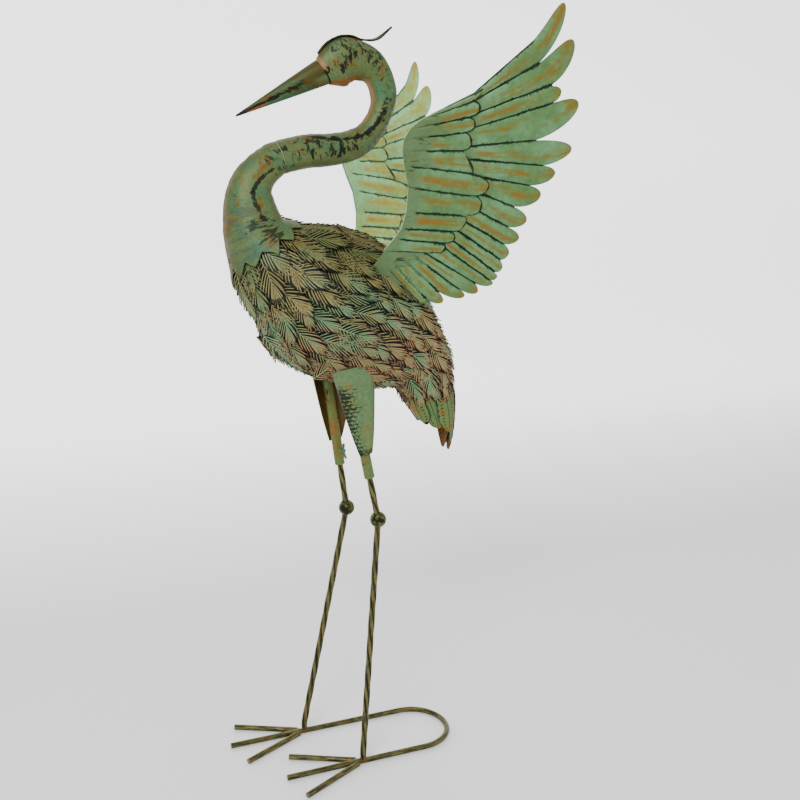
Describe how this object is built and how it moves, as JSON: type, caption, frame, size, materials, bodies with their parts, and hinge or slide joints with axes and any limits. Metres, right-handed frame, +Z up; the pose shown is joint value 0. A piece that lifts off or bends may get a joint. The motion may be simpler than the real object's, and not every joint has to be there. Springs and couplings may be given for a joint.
{
  "type": "heron garden statue",
  "caption": "Standing heron of cut and shaped sheet metal with raised wings, an S-shaped neck and rod legs that end in toes and a flat hoop.",
  "frame": {"origin": "on the ground, under the middle of the statue's outline seen from above", "axes": "+Z up, the bird faces -X, its left side is -Y"},
  "size_m": [0.407, 0.4428, 1.0216],
  "materials": {
    "neck_patina": "mottled green and ochre patina",
    "beak_patina": "ochre patina",
    "dark_patina": "dark bronze",
    "feather_patina": "brushed olive and rust patina",
    "wing_patina": "verdigris with ochre streaks",
    "thigh_patina": "pale verdigris",
    "screw_patina": "turquoise verdigris",
    "rod_bronze": "streaked olive bronze"
  },
  "bodies": {
    "root": {"head_neck": "neck_patina", "beak": "beak_patina", "crest": "dark_patina", "lower_neck": "neck_patina", "body": "feather_patina", "tail_feather_1": "feather_patina", "tail_feather_2": "feather_patina", "tail_feather_3": "feather_patina", "tail_feather_4": "feather_patina", "tail_feather_5": "feather_patina", "tail_feather_6": "feather_patina", "tail_feather_7": "feather_patina", "tail_feather_8": "feather_patina", "tail_feather_9": "feather_patina", "wing_left": "wing_patina", "wing_right": "wing_patina", "thigh_left": "thigh_patina", "thigh_right": "thigh_patina", "leg_socket_left": "thigh_patina", "leg_socket_right": "thigh_patina", "thumb_screw_left": "screw_patina", "thumb_screw_right": "screw_patina", "upper_leg_left": "rod_bronze", "upper_leg_right": "rod_bronze", "knee_ball_left": "rod_bronze", "knee_ball_right": "rod_bronze", "lower_leg_left": "rod_bronze", "lower_leg_right": "rod_bronze", "base_hoop": "rod_bronze", "toe_outer_left": "rod_bronze", "toe_outer_right": "rod_bronze", "toe_inner_left": "rod_bronze", "toe_inner_right": "rod_bronze"}
  },
  "joints": []
}
